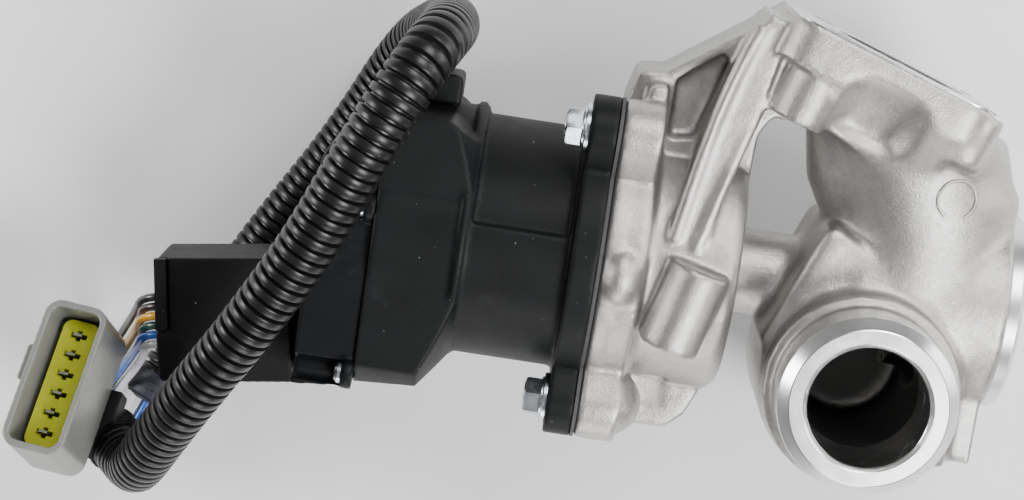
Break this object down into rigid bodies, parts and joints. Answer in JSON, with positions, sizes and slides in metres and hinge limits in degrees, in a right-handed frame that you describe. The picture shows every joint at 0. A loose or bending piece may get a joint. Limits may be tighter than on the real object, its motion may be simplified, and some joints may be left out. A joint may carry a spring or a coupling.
{
  "type": "egr valve",
  "caption": "Electric exhaust gas recirculation valve: cast body with engine flange and outlet spigot, screw-drive motor, and harness lead with plug and connector.",
  "frame": {"origin": "on the outlet spigot's axis, where the spigot leaves its collar", "axes": "+Z out of the outlet spigot, +X along the valve axis from the motor to the end cap, +Y towards the engine flange"},
  "size_m": [0.2305, 0.1428, 0.0965],
  "materials": {
    "bearing_steel": "ground",
    "black_plastic": "glass-filled moulding",
    "black_wire": "extruded",
    "blue_wire": "extruded",
    "brass_pin": "turned",
    "bronze": "sintered",
    "brown_wire": "extruded",
    "cast_aluminium": "blasted die casting",
    "cloth_tape": "adhesive tape",
    "conduit_plastic": "corrugated tube",
    "copper": "enamelled wire",
    "core_steel": "stacked sheet",
    "gasket_sheet": "fibre sheet",
    "green_wire": "extruded",
    "grey_plastic": "moulded",
    "magnet": "sintered ferrite",
    "seal_rubber": "moulded",
    "spring_steel": "drawn wire",
    "stainless": "turned",
    "tin_plate": "tin plate",
    "white_nylon": "moulded",
    "white_wire": "extruded",
    "yellow_plastic": "moulded",
    "yellow_wire": "extruded",
    "zinc_steel": "bright zinc"
  },
  "bodies": {
    "root": {"valve_body": "cast_aluminium", "end_cap": "zinc_steel", "seat_ring": "stainless", "stem_bush": "bronze", "stem_seal": "seal_rubber", "return_spring": "spring_steel", "flange_gasket": "gasket_sheet", "motor_housing": "black_plastic", "front_bearing": "bearing_steel", "rear_bearing": "bearing_steel", "end_plate": "black_plastic", "stator_core": "core_steel", "stator_coils": "copper", "rear_cover": "black_plastic", "cover_screws": "zinc_steel", "position_sensor": "black_plastic", "flange_screws": "zinc_steel", "screw_washers": "zinc_steel", "plug_housing": "black_plastic", "plug_retainer": "black_plastic", "socket_terminals": "tin_plate", "harness_clip": "black_plastic", "wire_black": "black_wire", "wire_brown": "brown_wire", "wire_yellow": "yellow_wire", "wire_green": "green_wire", "wire_blue": "blue_wire", "wire_white": "white_wire", "conduit": "conduit_plastic", "tape_wrap": "cloth_tape", "connector_shell": "grey_plastic", "connector_insert": "yellow_plastic", "connector_pins": "tin_plate", "connector_collar": "black_plastic"},
    "rotor": {"rotor_hub": "white_nylon", "rotor_magnet": "magnet"},
    "shaft": {"motor_shaft": "stainless"},
    "valve": {"valve_stem": "stainless", "poppet": "stainless", "poppet_nut": "zinc_steel", "spring_retainer": "zinc_steel"},
    "plunger": {"sensor_plunger": "brass_pin"}
  },
  "joints": [
    {"name": "rotor_spin", "type": "hinge", "parent": "root", "child": "rotor", "pos_m": [-0.087, 0.019, -0.0305], "axis": [1, 0, 0], "range_deg": [0, 360]},
    {"name": "shaft_slide", "type": "slide", "parent": "root", "child": "shaft", "axis": [1, 0, 0], "range_m": [0, 0.006]},
    {"name": "valve_slide", "type": "slide", "parent": "root", "child": "valve", "axis": [1, 0, 0], "range_m": [0, 0.006], "deforming": ["return_spring"]},
    {"name": "plunger_slide", "type": "slide", "parent": "root", "child": "plunger", "axis": [1, 0, 0], "range_m": [0, 0.006]}
  ],
  "couplings": [
    {"joint": "shaft_slide", "follows": "rotor_spin", "m_per_rad": 0.000954},
    {"joint": "valve_slide", "follows": "rotor_spin", "m_per_rad": 0.000954},
    {"joint": "plunger_slide", "follows": "rotor_spin", "m_per_rad": 0.000954}
  ]
}
